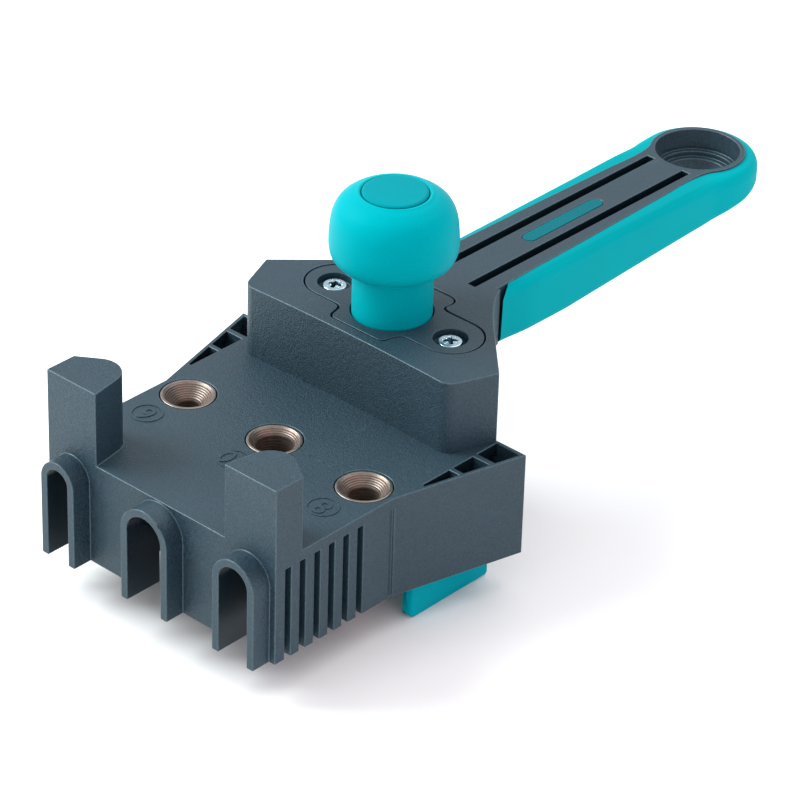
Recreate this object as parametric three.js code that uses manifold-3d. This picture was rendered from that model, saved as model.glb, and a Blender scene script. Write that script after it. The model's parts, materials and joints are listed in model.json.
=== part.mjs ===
// Handheld dowelling jig: three drill bushes in a plastic guide body, a pair of sprung stop legs under it,
// a mushroom knob that lifts them, and a rear handle with a soft grip.
// Millimetres, +Z up. The design datum is the axis of the middle bush on the plate's top face, with +X to
// the right and +Y towards the handle; the last group moves it to the bottom centre of the whole jig.

import * as THREE from 'three';
import { mergeVertices } from 'three/addons/utils/BufferGeometryUtils.js';
import Module from 'manifold-3d';

const wasm = await Module();
wasm.setup();

// ---------------------------------------------------------------- driving dimensions

const GAP = 0.3; // clearance between neighbouring pieces

const BUSHES = [
  { name: 'drill_bush_6', x: -32, bore: 3, arch: 6.1 },
  { name: 'drill_bush_10', x: 0, bore: 5, arch: 8.4 },
  { name: 'drill_bush_8', x: 32, bore: 4, arch: 7.3 },
];
const BUSH_RADIUS = 7.5;
const BUSH_MOUTH = 7; // radius of the countersunk mouth
const BOSS_RADIUS = 9.1;

const BODY_HALF = 41.3; // half width at the front
const BODY_FRONT = -42;
const BODY_REAR = 40.9;
const BODY_HEIGHT = 30.5;
const PLATE = 3.5;
const WALL = 2.4;

const WING_START = 0.8; // where the side walls turn outwards
const WING_HALF = 51.7;
const WING_WALL = 1.1;
const CELL_INNER = 42.2;
const CELLS = [[11.2, 21.4], [22.9, 30.6], [32.3, 39.8]];

const FIN_PITCH = 5.28;
const FIN_SLOT = 2.1;
const FIN_DEPTH = 3;
const FIN_FIRST = -38.4;
const FIN_COUNT = 6;
const SLOT_TOP = -3.1;

const ARCH_PROUD = 5.9; // how far the arches stand in front of the wall
const ARCH_BACK = -36; // where their walls end inside the body
const ARCH_WALL = 2.3;
const ARCH_TOP = -0.5;

const POST_HEIGHT = 21.7;
const POST_INNER = 23.2;

const LOBE_HALF = 21; // the rear bay of the guide body, below the knob
const LOBE_REAR = 59;

const TOP = 21.2; // top face of the block and the handle
const BLOCK_FRONT = 25.95;
const FRONT_HOLLOW = 0.8; // how far the block's front face is dished in the middle
const BLOCK_WALL = 2.6;
const KNOB_Y = 44.4;
const WELL_RADIUS = 11.3; // guide for the knob's neck

const COVER_TOP = TOP - 0.1;
const COVER_THICK = 4;
const SCREW_X = 20.9;
const COVER_SHANK = 1.6;
const SCREW_RECESS = { radius: 4.8, depth: 2.4 };

const SCREW_PLACES = [[31, 31], [-31, 31], [12, 52], [-12, 52]]; // they come up from below
const SCREW_SHANK = 1.5;

const HANDLE_BOTTOM = 4.2;
const CORE_START = 70;
const GRIP_START = 73.2;
const CLIMB = { from: 99, to: 195, rise: 6.4 }; // the handle's underside climbs towards its end
const RING_Y = 173.1;
const RING_RADIUS = 13.7;
const GRIP_RING_RADIUS = 17.4;
const SLOT_INNER = 5;
const SLOT_OUTER = 7.7;
const SLOT_FRONT = 68.9;
const SLOT_REAR = 159.9;
const RING_STEPS = [[12.2, 14.8], [10.8, 13.2], [9.2, HANDLE_BOTTOM - 1]]; // radius, floor

const NECK_RADIUS = 10.85;
const SPINDLE_RADIUS = 4;
const SPINDLE_TOP = 25.7;
const THREAD_RADIUS = 3; // the spindle's lower end
const TRAVEL = 11; // stop lift, and how far the legs reach below the body
const BRIDGE_TOP = -23.4;
const BRIDGE_THICK = 3;
const LEG_OUTER = 41.5;
const LEG_THICK = 3;
const LEG_INNER = LEG_OUTER - LEG_THICK;
const LEG_FRONT = 9;
const LEG_REAR = 39.6;
const LEG_TOP = -15.2;
const LEG_BOTTOM = -BODY_HEIGHT - TRAVEL;
const LEG_SCREW = { x: LEG_INNER - 3.6, y: 29, shank: 1.2 };

// ---------------------------------------------------------------- materials

function paint(color, roughness, metalness = 0) {
  return new THREE.MeshStandardMaterial({ color, roughness, metalness });
}

const looks = {
  body: paint(0x45535d, 0.62),
  cover: paint(0x3f4c56, 0.6),
  grip: paint(0x00a3ad, 0.55),
  knob: paint(0x00b0b9, 0.42),
  steel: paint(0x6b5a4c, 0.35, 1),
  zinc: paint(0xc4c9cc, 0.3, 1),
  spring: paint(0x8c9095, 0.3, 1),
};

// ---------------------------------------------------------------- solids

// A closed geometry as a solid that can be joined and cut.
function solid(geometry) {
  const bare = geometry.index ? geometry.toNonIndexed() : geometry.clone();
  bare.deleteAttribute('normal');
  bare.deleteAttribute('uv');
  const merged = mergeVertices(bare, 1e-4);
  return new wasm.Manifold(new wasm.Mesh({
    numProp: 3,
    vertProperties: Float32Array.from(merged.attributes.position.array),
    triVerts: Uint32Array.from(merged.index.array),
  }));
}

// A solid back as a geometry for a mesh.
function surface(body) {
  const mesh = body.getMesh();
  const geometry = new THREE.BufferGeometry();
  geometry.setAttribute('position', new THREE.BufferAttribute(Float32Array.from(mesh.vertProperties), 3));
  geometry.setIndex(new THREE.BufferAttribute(Uint32Array.from(mesh.triVerts), 1));
  geometry.computeVertexNormals();
  return geometry;
}

const union = (bodies) => bodies.reduce((all, body) => all.add(body));
const cut = (body, tools) => tools.reduce((left, tool) => left.subtract(tool), body);

const polygon = (points) => new THREE.Shape(points.map(([u, v]) => new THREE.Vector2(u, v)));

// Outline pulled along an axis from one coordinate to another. The outline is drawn in XY for 'z', in XZ
// for 'y' and in YZ for 'x'.
function prism(outline, axis, from, to, curveSegments = 12) {
  const shape = outline instanceof THREE.Shape ? outline : polygon(outline);
  const depth = to - from;
  const geometry = new THREE.ExtrudeGeometry(shape, { depth, bevelEnabled: false, curveSegments });
  const basis = new THREE.Matrix4();
  const [x, y, z] = [new THREE.Vector3(1, 0, 0), new THREE.Vector3(0, 1, 0), new THREE.Vector3(0, 0, 1)];
  if (axis === 'z') basis.makeTranslation(0, 0, from);
  if (axis === 'y') basis.makeBasis(x, z, y.clone().negate()).setPosition(0, to, 0);
  if (axis === 'x') basis.makeBasis(y, z, x).setPosition(from, 0, 0);
  return solid(geometry.applyMatrix4(basis));
}

function box(x0, x1, y0, y1, z0, z1) {
  const geometry = new THREE.BoxGeometry(x1 - x0, y1 - y0, z1 - z0);
  geometry.translate((x0 + x1) / 2, (y0 + y1) / 2, (z0 + z1) / 2);
  return solid(geometry);
}

// Upright cylinder from z0 to z1.
function rod(x, y, radius, z0, z1, sides = 32) {
  const geometry = new THREE.CylinderGeometry(radius, radius, z1 - z0, sides);
  geometry.rotateX(Math.PI / 2);
  geometry.translate(x, y, (z0 + z1) / 2);
  return solid(geometry);
}

// Profile of [radius, z] points turned about an upright axis at x, y.
function turned(profile, x, y, sides = 32) {
  const geometry = new THREE.LatheGeometry(profile.map(([r, z]) => new THREE.Vector2(r, z)), sides);
  geometry.rotateX(Math.PI / 2);
  geometry.translate(x, y, 0);
  return solid(geometry);
}

// The half outline on the right, closed by its mirror image on the left.
const mirrored = (half) => [...half, ...half.map(([x, y]) => [-x, y]).reverse()];

// The same solid on the other side of the middle plane, with its faces turned to look outwards again.
function mirrorX(body) {
  const geometry = surface(body).applyMatrix4(new THREE.Matrix4().makeScale(-1, 1, 1));
  const faces = geometry.index.array;
  for (let i = 0; i < faces.length; i += 3) {
    [faces[i], faces[i + 1]] = [faces[i + 1], faces[i]];
  }
  return solid(geometry);
}

// ---------------------------------------------------------------- guide body

// Outer face of the flared side wall at a given Y.
function wingX(y) {
  const along = Math.max(0, y - WING_START) / (BODY_REAR - WING_START);
  return BODY_HALF + (WING_HALF - BODY_HALF) * along;
}

function rearLobe(half, rear, from, to) {
  const shape = new THREE.Shape();
  const round = 9;
  const start = 30; // well inside the body
  shape.moveTo(-half, start);
  shape.lineTo(half, start);
  shape.lineTo(half, rear - round);
  shape.absarc(half - round, rear - round, round, 0, Math.PI / 2, false);
  shape.absarc(-half + round, rear - round, round, Math.PI / 2, Math.PI, false);
  return prism(shape, 'z', from, to, 8);
}

// A post stands on each front corner: square at the front, rounded towards the bushes.
function post() {
  const round = 6.8;
  const depth = 9.6; // along the body's side
  const [roundX, roundY] = [BODY_HALF - 9.8, BODY_FRONT + 8.1];
  const shape = new THREE.Shape();
  shape.moveTo(POST_INNER, BODY_FRONT);
  shape.lineTo(BODY_HALF, BODY_FRONT);
  shape.lineTo(BODY_HALF, BODY_FRONT + depth);
  shape.absarc(roundX, roundY, round, Math.PI / 3, Math.PI * 0.94, false);
  return prism(shape, 'z', -PLATE, POST_HEIGHT, 10);
}

// An arch stands proud of the front wall and opens downwards, to sit over a dowel.
function archOutline(x, radius, bottom) {
  const shape = new THREE.Shape();
  const spring = ARCH_TOP - radius;
  shape.moveTo(x - radius, bottom);
  shape.lineTo(x + radius, bottom);
  shape.absarc(x, spring, radius, 0, Math.PI, false);
  return shape;
}

function archTunnel(x, radius) {
  const shape = new THREE.Shape();
  const inner = radius - ARCH_WALL;
  shape.moveTo(x - inner, -BODY_HEIGHT - 1);
  shape.lineTo(x + inner, -BODY_HEIGHT - 1);
  shape.absarc(x, ARCH_TOP - radius, inner, 0, Math.PI, false);
  return prism(shape, 'y', BODY_FRONT - ARCH_PROUD - 1, ARCH_BACK + 0.5, 12);
}

function finSlots() {
  const slots = [];
  for (let i = 0; i < FIN_COUNT; i += 1) {
    const y = FIN_FIRST + i * FIN_PITCH;
    slots.push(box(BODY_HALF - FIN_DEPTH, BODY_HALF + 1, y, y + FIN_SLOT, -BODY_HEIGHT - 1, SLOT_TOP));
  }
  return union(slots);
}

// Three cells open upwards in each wing, between thin ribs.
function wingCells() {
  return union(CELLS.map(([y0, y1]) => prism([
    [CELL_INNER, y0],
    [wingX(y0) - WING_WALL, y0],
    [wingX(y1) - WING_WALL, y1],
    [CELL_INNER, y1],
  ], 'z', -PLATE - 1, 1)));
}

// Everything under the plate that is open: front bay, middle bay, wings and the rear bay.
function underside() {
  const low = -BODY_HEIGHT - 1;
  const sideWall = 2;
  const behindFins = BODY_HALF - FIN_DEPTH - 1.6;
  const fins = FIN_FIRST + (FIN_COUNT - 1) * FIN_PITCH + FIN_SLOT + 1.4;
  const inside = (y) => wingX(y) - WING_WALL;
  const rear = BODY_REAR - WING_WALL;
  const bay = prism(mirrored([
    [behindFins, BODY_FRONT + WALL],
    [behindFins, fins],
    [BODY_HALF - sideWall, fins],
    [BODY_HALF - sideWall, WING_START + 3.5],
    [inside(8), 7.6],
    [inside(rear), rear],
    [LOBE_HALF - WALL, rear],
  ]), 'z', low, -PLATE);
  const lobe = rearLobe(LOBE_HALF - WALL, LOBE_REAR - WALL, low, -PLATE);
  return bay.add(lobe);
}

// Bosses round the bushes and ribs that tie them to the walls.
function bossesAndRibs() {
  const low = -BODY_HEIGHT;
  const high = -PLATE + 0.5;
  const half = 0.8; // half a rib's thickness
  const bodies = BUSHES.map(({ x }) => rod(x, 0, BOSS_RADIUS, low, high, 28));
  for (const x of [-16, 16]) {
    bodies.push(box(x - half, x + half, BODY_FRONT + 1, 1, low + 1, high));
  }
  bodies.push(box(-BODY_HALF + 1, BODY_HALF - 1, -half, half, low + 1, high));
  for (const { x, arch } of BUSHES) {
    bodies.push(box(x - half, x + half, ARCH_BACK + 1, -BUSH_RADIUS, ARCH_TOP - 2 * arch, high));
  }
  return union(bodies);
}

// Thin ribs in the wings, and rails that the legs slide between.
function wingRibs(side) {
  const low = -BODY_HEIGHT + 2;
  const high = -PLATE + 0.5;
  const ribs = [];
  for (let i = 0; i < CELLS.length - 1; i += 1) {
    const [y0, y1] = [CELLS[i][1], CELLS[i + 1][0]];
    ribs.push(box(LEG_OUTER + 2 * GAP, wingX(y0) - 0.6, y0, y1, low, high));
  }
  const rail = LEG_INNER - GAP;
  for (const y of [15, 36.5]) {
    ribs.push(box(rail - 1.9, rail, y, y + 1.6, low, high));
  }
  const all = union(ribs);
  return side > 0 ? all : mirrorX(all);
}

// A narrow groove marks the bend of each side wall.
function bendGroove() {
  return box(BODY_HALF - 0.5, BODY_HALF + 2, 0.1, 1.5, -BODY_HEIGHT - 1, SLOT_TOP);
}

function guideBody() {
  const outline = mirrored([[BODY_HALF, BODY_FRONT], [BODY_HALF, WING_START], [WING_HALF, BODY_REAR]]);
  const shell = prism(outline, 'z', -BODY_HEIGHT, 0).add(rearLobe(LOBE_HALF, LOBE_REAR, -BODY_HEIGHT, 0));
  const inner = cut(underside(), [bossesAndRibs(), wingRibs(1), wingRibs(-1)]);
  const arches = BUSHES.map(({ x, arch }) => prism(
    archOutline(x, arch, -BODY_HEIGHT), 'y', BODY_FRONT - ARCH_PROUD, ARCH_BACK, 12));
  const cells = wingCells();
  const tunnels = BUSHES.map(({ x, arch }) => archTunnel(x, arch));
  const body = cut(shell, [inner]).add(union(arches)).add(post()).add(mirrorX(post()));
  const side = finSlots().add(bendGroove());
  const bores = BUSHES.map(({ x }) => rod(x, 0, BUSH_RADIUS + GAP, -BODY_HEIGHT - 1, 1, 36));
  const spindleBore = rod(0, KNOB_Y, SPINDLE_RADIUS + GAP, -PLATE - 1, 1);
  const screwBores = SCREW_PLACES.map(([x, y]) => rod(x, y, SCREW_SHANK + 2 * GAP, -PLATE - 1, 1, 16));
  const sides = [side, mirrorX(side), cells, mirrorX(cells)];
  return cut(body, [...tunnels, ...sides, ...bores, spindleBore, ...screwBores]);
}

// ---------------------------------------------------------------- block and handle

// Outline of the block: a dished front, rounded corners, flared sides, then a narrow neck to the handle.
function blockOutline(inset) {
  const i = inset;
  const round = 4.3;
  const [cornerX, cornerY] = [33.8 - i, BLOCK_FRONT + i + round]; // centre of the front rounding
  const lean = Math.PI * 0.12; // how far the sides lean outwards
  const end = GRIP_START - 2 * GAP;
  const shape = new THREE.Shape();
  shape.moveTo(-cornerX, BLOCK_FRONT + i);
  shape.quadraticCurveTo(0, BLOCK_FRONT + i + 2 * FRONT_HOLLOW, cornerX, BLOCK_FRONT + i);
  shape.absarc(cornerX, cornerY, round, -Math.PI / 2, -lean, false);
  shape.lineTo(42.2 - i, 39.8 - i * 0.2);
  shape.lineTo(29.4 - i, 52.6 - i * 0.4);
  shape.quadraticCurveTo(15.5 - i, 66, 13.6 - i, end);
  shape.lineTo(-13.6 + i, end);
  shape.quadraticCurveTo(-15.5 + i, 66, -29.4 + i, 52.6 - i * 0.4);
  shape.lineTo(-42.2 + i, 39.8 - i * 0.2);
  shape.absarc(-cornerX, cornerY, round, Math.PI + lean, Math.PI * 1.5, false);
  return shape;
}

// Outline of the handle's core: a slim waist, then a ring round the end.
function coreOutline(grow) {
  const shape = new THREE.Shape();
  const meet = Math.PI * 0.19; // angle at which the waist runs into the ring
  const radius = RING_RADIUS + grow;
  const ringX = radius * Math.cos(meet);
  const ringY = RING_Y - radius * Math.sin(meet);
  const [start, middle, waist, pinch] = [12.5, 11.9, 10.7, 9.6].map((half) => half + grow);
  shape.moveTo(-start, CORE_START);
  shape.lineTo(start, CORE_START);
  shape.quadraticCurveTo(middle, 112, waist, 148);
  shape.quadraticCurveTo(pinch, 161, ringX, ringY);
  shape.absarc(0, RING_Y, radius, -meet, Math.PI + meet, false);
  shape.quadraticCurveTo(-pinch, 161, -waist, 148);
  shape.quadraticCurveTo(-middle, 112, -start, CORE_START);
  return shape;
}

// Outline of the grip's outside: straight sides and a round end, from the front of the grip back.
function gripOutline(inset) {
  const side = 15 - inset;
  const ring = GRIP_RING_RADIUS - inset;
  const shape = new THREE.Shape();
  shape.moveTo(-side, GRIP_START + inset);
  shape.lineTo(side, GRIP_START + inset);
  shape.quadraticCurveTo(side + 0.4, 130, side + 1.2, RING_Y - 11);
  shape.quadraticCurveTo(ring, RING_Y - 5, ring, RING_Y);
  shape.absarc(0, RING_Y, ring, 0, Math.PI, false);
  shape.quadraticCurveTo(-ring, RING_Y - 5, -side - 1.2, RING_Y - 11);
  shape.quadraticCurveTo(-side - 0.4, 130, -side, GRIP_START + inset);
  return shape;
}

// Two lobes for the screws and a deeper middle round the knob, joined by S-shaped steps.
function coverOutline(grow) {
  const lobe = 8.7 + grow;
  const lobeX = 20.6;
  const lobeY = KNOB_Y + 0.7;
  const front = KNOB_Y - 14.1 - grow;
  const back = KNOB_Y + 15.9 + grow;
  const [low, high] = [lobeY - lobe, lobeY + lobe];
  const frontStep = [[7.4, front], [9 + grow, front], [9.6 + grow, front + 1.6]];
  const right = new THREE.Path();
  right.moveTo(0, front);
  right.lineTo(...frontStep[0]);
  right.quadraticCurveTo(...frontStep[1], ...frontStep[2]);
  right.lineTo(10.2 + grow, low - 1.8);
  right.quadraticCurveTo(10.8 + grow, low, 13 + grow, low);
  right.lineTo(lobeX, low);
  right.absarc(lobeX, lobeY, lobe, -Math.PI / 2, Math.PI / 2, false);
  right.lineTo(12 + grow, high);
  right.quadraticCurveTo(8.8 + grow, high, 9 + grow, high + 2);
  right.quadraticCurveTo(10 + grow, back, 6, back);
  const half = right.getPoints(8).slice(1).map((point) => [point.x, point.y]);
  return polygon(mirrored(half));
}

// Everything below the handle's climbing underside.
function belowClimb(lift) {
  const { from, to, rise } = CLIMB;
  const start = HANDLE_BOTTOM + lift;
  const under = HANDLE_BOTTOM - 5;
  return prism([[from, under], [to, under], [to, start + rise], [from, start]], 'x', -30, 30);
}

function handleSlot(side) {
  const floor = HANDLE_BOTTOM + 6.5;
  const [x0, x1] = side > 0 ? [SLOT_INNER, SLOT_OUTER] : [-SLOT_OUTER, -SLOT_INNER];
  return box(x0, x1, SLOT_FRONT, SLOT_REAR, floor, TOP + 1);
}

function handleBody() {
  const ledge = COVER_TOP - COVER_THICK - GAP;
  const block = prism(blockOutline(0), 'z', GAP, TOP, 10);
  const hollow = prism(blockOutline(BLOCK_WALL), 'z', GAP - 1, ledge - BLOCK_WALL, 6);
  const keep = box(-60, 60, 20, 62, -1, TOP);
  const belowHandle = box(-60, 60, 62, 90, -1, HANDLE_BOTTOM);
  const well = rod(0, KNOB_Y, WELL_RADIUS + 2.4, GAP, ledge, 28);
  const pillars = SCREW_PLACES.map(([x, y]) => rod(x, y, 4, GAP, ledge, 16));
  const coverPillars = [-SCREW_X, SCREW_X].map((x) => rod(x, KNOB_Y, 4.2, GAP, ledge, 20));
  const core = cut(prism(coreOutline(0), 'z', HANDLE_BOTTOM, TOP, 14), [belowClimb(0)]);
  const shell = cut(block, [cut(hollow.intersect(keep), [well, ...pillars, ...coverPillars]), belowHandle]);
  const ring = RING_STEPS.map(([radius, floor]) => rod(0, RING_Y, radius, floor, TOP + 1, 34));
  const pilots = SCREW_PLACES.map(([x, y]) => rod(x, y, SCREW_SHANK + GAP, GAP - 1, 9, 12));
  const coverPilots = [-SCREW_X, SCREW_X].map((x) => rod(x, KNOB_Y, COVER_SHANK + GAP, 6, ledge + 1, 12));
  return cut(shell.add(core), [
    prism(coverOutline(0.45), 'z', ledge, TOP + 1, 6),
    rod(0, KNOB_Y, WELL_RADIUS, GAP - 1, TOP, 36),
    handleSlot(1),
    handleSlot(-1),
    inlayPocket(),
    ...ring,
    ...pilots,
    ...coverPilots,
  ]);
}

// The grip wraps the core's sides and end, and leaves its top and bottom bare.
function handleGrip() {
  const low = HANDLE_BOTTOM + 0.2;
  const high = TOP - 0.4;
  const bands = [
    [1.8, low, low + 1.4],
    [0.7, low + 1.4, low + 3.2],
    [0, low + 3.2, high - 2.2],
    [0.6, high - 2.2, high - 0.8],
    [1.7, high - 0.8, high],
  ];
  const sleeve = union(bands.map(([inset, from, to]) => prism(gripOutline(inset), 'z', from, to, 8)));
  return cut(sleeve, [prism(coreOutline(GAP), 'z', low - 1, high + 1, 14), belowClimb(0.2)]);
}

const INLAY = { y0: 98, y1: 130, half: 2.1, depth: 0.8 };

function barOutline(half, y0, y1) {
  const shape = new THREE.Shape();
  shape.absarc(0, y1 - half, half, 0, Math.PI, false);
  shape.absarc(0, y0 + half, half, Math.PI, Math.PI * 2, false);
  return shape;
}

function inlayPocket() {
  const { y0, y1, half, depth } = INLAY;
  const room = GAP / 2;
  const outline = barOutline(half + room, y0 - room, y1 + room);
  return prism(outline, 'z', TOP - depth - room, TOP + 1, 8);
}

function handleInlay() {
  const { y0, y1, half, depth } = INLAY;
  return prism(barOutline(half, y0, y1), 'z', TOP - depth, TOP, 8);
}

function coverPlate() {
  const low = COVER_TOP - COVER_THICK;
  const { radius, depth } = SCREW_RECESS;
  const screws = [-SCREW_X, SCREW_X];
  return cut(prism(coverOutline(0), 'z', low, COVER_TOP, 6), [
    rod(0, KNOB_Y, WELL_RADIUS, low - 1, COVER_TOP + 1, 36),
    ...screws.map((x) => rod(x, KNOB_Y, radius, COVER_TOP - depth, COVER_TOP + 1, 24)),
    ...screws.map((x) => rod(x, KNOB_Y, COVER_SHANK + GAP, low - 1, COVER_TOP, 12)),
  ]);
}

// ---------------------------------------------------------------- bushes and screws

function drillBush({ x, bore }) {
  const low = -BODY_HEIGHT + GAP;
  const edge = 0.3;
  return turned([
    [bore, low],
    [BUSH_RADIUS - edge, low],
    [BUSH_RADIUS, low + edge],
    [BUSH_RADIUS, -edge],
    [BUSH_RADIUS - edge, 0],
    [BUSH_MOUTH, 0],
    [bore, -(BUSH_MOUTH - bore)],
    [bore, low],
  ], x, 0, 36);
}

const HEAD_DEPTH = 1.5;

// Cross-recess screw with its head up at the given height.
function crossScrew(x, y, headTop, length, shank, headRadius) {
  const body = turned([
    [0, headTop - length],
    [shank, headTop - length + shank],
    [shank, headTop - HEAD_DEPTH],
    [headRadius, headTop - HEAD_DEPTH],
    [headRadius, headTop - 0.5],
    [headRadius - 0.7, headTop],
    [0, headTop],
  ], x, y, 20);
  const long = headRadius * 0.62;
  const thin = 0.45;
  const floor = headTop - 0.9;
  const arms = [
    box(x - long, x + long, y - thin, y + thin, floor, headTop + 1),
    box(x - thin, x + thin, y - long, y + long, floor, headTop + 1),
  ];
  return cut(body, arms);
}

// Pan-head screw driven from below, with one slot.
function screwFromBelow(x, y, headBottom, length, shank, headRadius) {
  const body = turned([
    [0, headBottom],
    [headRadius - 0.5, headBottom],
    [headRadius, headBottom + 0.5],
    [headRadius, headBottom + HEAD_DEPTH],
    [shank, headBottom + HEAD_DEPTH],
    [shank, headBottom + length - shank],
    [0, headBottom + length],
  ], x, y, 12);
  const slot = box(x - 4, x + 4, y - 0.4, y + 0.4, headBottom - 1, headBottom + 0.7);
  return cut(body, [slot]);
}

// ---------------------------------------------------------------- stop

// One leg: a thin upright plate with a shoulder in front, hollowed into a curve below the body.
function stopLeg() {
  const [tip, heel] = [2, 1.2]; // rounding of the front and rear corners
  const shoulder = 3.1;
  const [near, far] = [LEG_INNER + 0.8, LEG_INNER + 1.8]; // between the bush's boss and the side wall
  const shape = new THREE.Shape();
  shape.moveTo(LEG_FRONT, LEG_BOTTOM + tip);
  shape.absarc(LEG_FRONT + tip, LEG_BOTTOM + tip, tip, Math.PI, Math.PI * 1.5, false);
  shape.absarc(LEG_REAR - heel, LEG_BOTTOM + heel, heel, -Math.PI / 2, 0, false);
  shape.lineTo(LEG_REAR, LEG_TOP);
  shape.lineTo(LEG_FRONT, LEG_TOP);
  const plate = prism(shape, 'x', LEG_INNER, LEG_OUTER, 6);
  const tongue = new THREE.Shape();
  const step = -BODY_HEIGHT - 0.6;
  tongue.moveTo(LEG_FRONT + 1, step - shoulder);
  tongue.lineTo(LEG_FRONT + 1, LEG_TOP);
  tongue.lineTo(LEG_FRONT - shoulder, LEG_TOP);
  tongue.lineTo(LEG_FRONT - shoulder, step);
  tongue.absarc(LEG_FRONT - shoulder, step - shoulder, shoulder, Math.PI / 2, 0, true);
  const front = prism(tongue, 'x', near, far, 6);
  const { x, y, shank } = LEG_SCREW;
  const foot = box(LEG_INNER - 7, LEG_INNER + 1, y - 4, y + 4, BRIDGE_TOP + GAP, BRIDGE_TOP + 4);
  const pilot = rod(x, y, shank + GAP, BRIDGE_TOP - 1, BRIDGE_TOP + 3, 12);
  return cut(plate.add(front).add(foot), [pilot]);
}

// A cross bar between the legs with a round end under the knob.
function stopBridge() {
  const reach = LEG_INNER - GAP;
  const { x, y, shank } = LEG_SCREW;
  const end = 9; // radius of the round end
  const low = BRIDGE_TOP - BRIDGE_THICK;
  const outline = mirrored([[reach, y - 5], [reach, y + 5], [end, y + 5], [end, KNOB_Y]]);
  const bar = prism(outline, 'z', low, BRIDGE_TOP);
  const plate = bar.add(rod(0, KNOB_Y, end, low, BRIDGE_TOP, 32));
  return cut(plate, [
    rod(0, KNOB_Y, THREAD_RADIUS + GAP, low - 1, BRIDGE_TOP + 1, 24),
    ...[-x, x].map((at) => rod(at, y, shank + GAP, low - 1, BRIDGE_TOP + 1, 12)),
  ]);
}

// Round wire wound round the spindle, between the plate and the bridge.
function returnSpring() {
  const wire = 0.7;
  const coil = 7;
  const turns = 5;
  const low = BRIDGE_TOP + GAP + wire;
  const high = -PLATE - GAP - wire;
  const points = [];
  const steps = turns * 12;
  for (let i = 0; i <= steps; i += 1) {
    const angle = (i / steps) * turns * Math.PI * 2;
    const z = low + (high - low) * i / steps;
    points.push(new THREE.Vector3(coil * Math.cos(angle), KNOB_Y + coil * Math.sin(angle), z));
  }
  const section = new THREE.Shape();
  section.absarc(0, 0, wire, 0, Math.PI * 2, false);
  return solid(new THREE.ExtrudeGeometry(section, {
    steps,
    extrudePath: new THREE.CatmullRomCurve3(points),
    bevelEnabled: false,
    curveSegments: 3,
  }));
}

// ---------------------------------------------------------------- knob

const KNOB_LIP = 34.2;
const KNOB_TOP = 57;
const DISC_RADIUS = 8.9;
const DISC_DEPTH = 2.2;
const NECK_BOTTOM = 0.6;

// A long neck and a mushroom cap with a round hollow for the disc.
function knob() {
  const floor = KNOB_TOP - DISC_DEPTH;
  const crown = new THREE.SplineCurve([
    [11.7, KNOB_LIP], [14.3, 35.8], [16.4, 38.3], [17.3, 42],
    [17.1, 46.8], [16, 51], [13.6, 54.3], [10.1, 56.2],
  ].map(([r, z]) => new THREE.Vector2(r, z))).getPoints(11).map((point) => [point.x, point.y]);
  const body = turned([
    [0, NECK_BOTTOM],
    [NECK_RADIUS - 0.5, NECK_BOTTOM],
    [NECK_RADIUS, NECK_BOTTOM + 0.5],
    [NECK_RADIUS, KNOB_LIP + 0.6],
    [11.2, KNOB_LIP],
    ...crown,
    [DISC_RADIUS + GAP, KNOB_TOP - 0.5],
    [DISC_RADIUS + GAP, floor],
    [0, floor],
  ], 0, KNOB_Y, 36);
  return cut(body, [rod(0, KNOB_Y, SPINDLE_RADIUS + GAP, NECK_BOTTOM - 1, SPINDLE_TOP + GAP, 24)]);
}

function knobDisc() {
  const low = KNOB_TOP - DISC_DEPTH + GAP;
  return turned([
    [0, low],
    [DISC_RADIUS, low],
    [DISC_RADIUS, KNOB_TOP - 0.5],
    [DISC_RADIUS - 0.6, KNOB_TOP - 0.1],
    [0, KNOB_TOP],
  ], 0, KNOB_Y, 40);
}

// Steel rod with a thinner threaded end that goes through the bridge.
function spindle() {
  const low = BRIDGE_TOP - BRIDGE_THICK - 3.2;
  const edge = 0.3;
  return turned([
    [0, low],
    [THREAD_RADIUS - edge, low],
    [THREAD_RADIUS, low + edge],
    [THREAD_RADIUS, BRIDGE_TOP + GAP],
    [SPINDLE_RADIUS, BRIDGE_TOP + GAP],
    [SPINDLE_RADIUS, SPINDLE_TOP - edge],
    [SPINDLE_RADIUS - edge, SPINDLE_TOP],
    [0, SPINDLE_TOP],
  ], 0, KNOB_Y, 24);
}

const WASHER_TOP = BRIDGE_TOP - BRIDGE_THICK - GAP;
const WASHER_THICK = 0.6;

function spindleWasher() {
  const ring = rod(0, KNOB_Y, 6.2, WASHER_TOP - WASHER_THICK, WASHER_TOP, 28);
  return cut(ring, [rod(0, KNOB_Y, THREAD_RADIUS + GAP, WASHER_TOP - 2, WASHER_TOP + 1, 24)]);
}

function spindleNut() {
  const high = WASHER_TOP - WASHER_THICK - GAP;
  const hexagon = rod(0, KNOB_Y, 5.6, high - 1.8, high, 6);
  return cut(hexagon, [rod(0, KNOB_Y, THREAD_RADIUS + 0.1, high - 3, high + 1, 24)]);
}

// ---------------------------------------------------------------- assembly

const jig = new THREE.Group();

function add(name, body, material) {
  const mesh = new THREE.Mesh(surface(body), material.clone());
  mesh.name = name;
  jig.add(mesh);
}

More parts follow.
